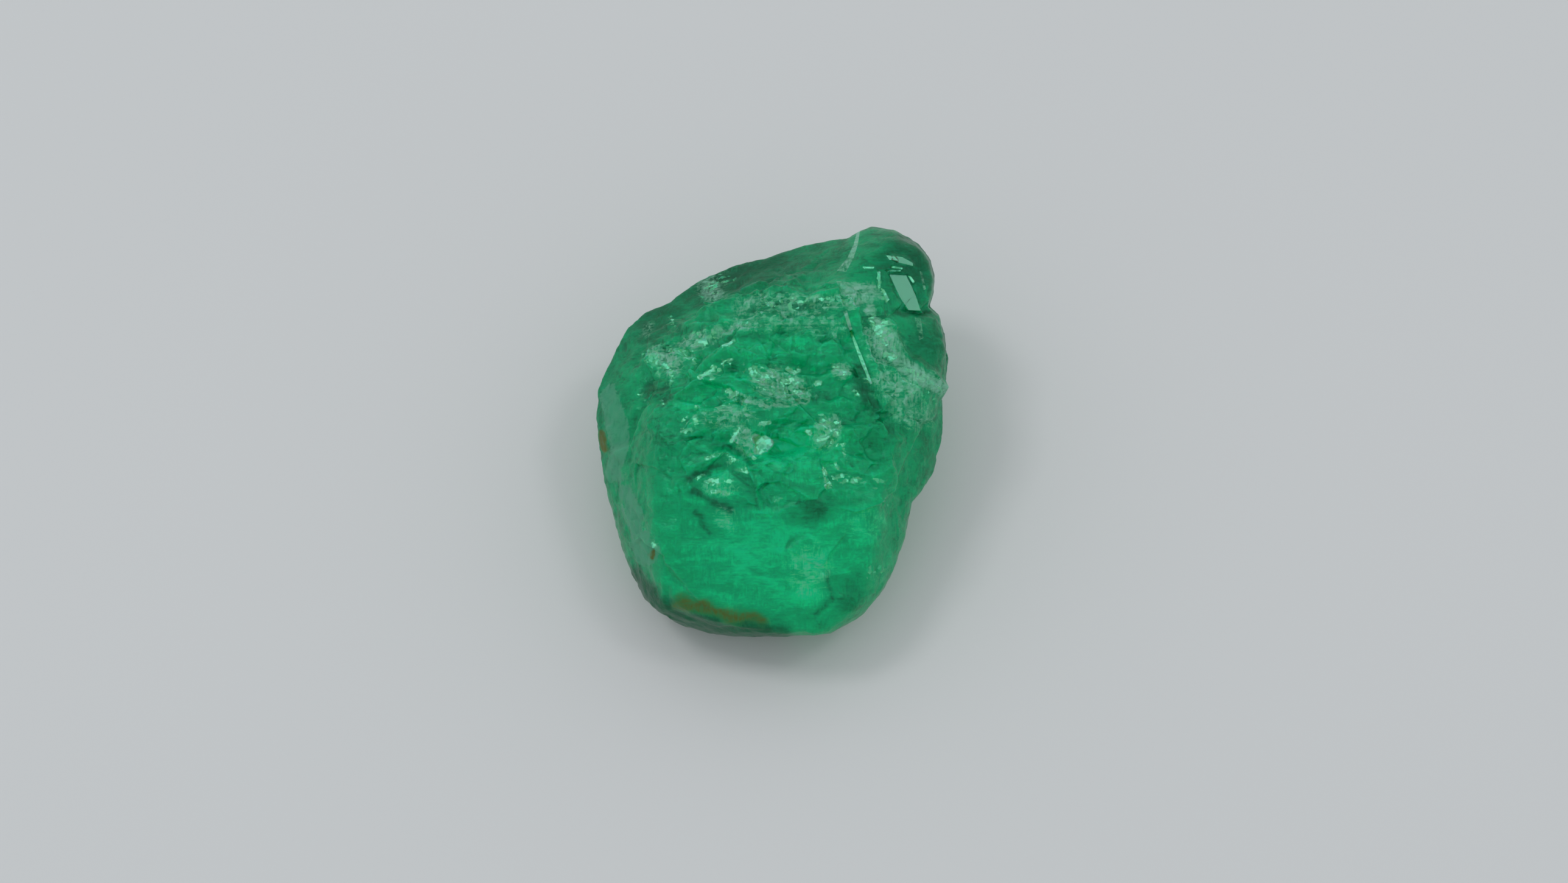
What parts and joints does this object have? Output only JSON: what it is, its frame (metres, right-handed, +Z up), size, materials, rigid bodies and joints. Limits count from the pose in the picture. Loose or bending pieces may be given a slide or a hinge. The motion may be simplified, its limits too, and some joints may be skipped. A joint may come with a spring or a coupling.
{
  "type": "rough gemstone crystal",
  "caption": "Rough, uncut see-through green crystal: a broken lump with hackly ledges, a glassy knob and a flat underside that it rests on.",
  "frame": {"origin": "bottom centre of the bounding box, on the plane of the flat underside", "axes": "+Z up from the rest face; +Y from the low front wall towards the high head, along the stone's length; +X to the right as seen from the front, towards the side with the knob and the glassy hollow"},
  "size_m": [0.0132, 0.0162, 0.0084],
  "materials": {
    "green_crystal": "natural broken crystal, glassy on the smooth faces and finely frosted on the hackly ones"
  },
  "bodies": {
    "root": {"gemstone": "green_crystal"}
  },
  "joints": []
}
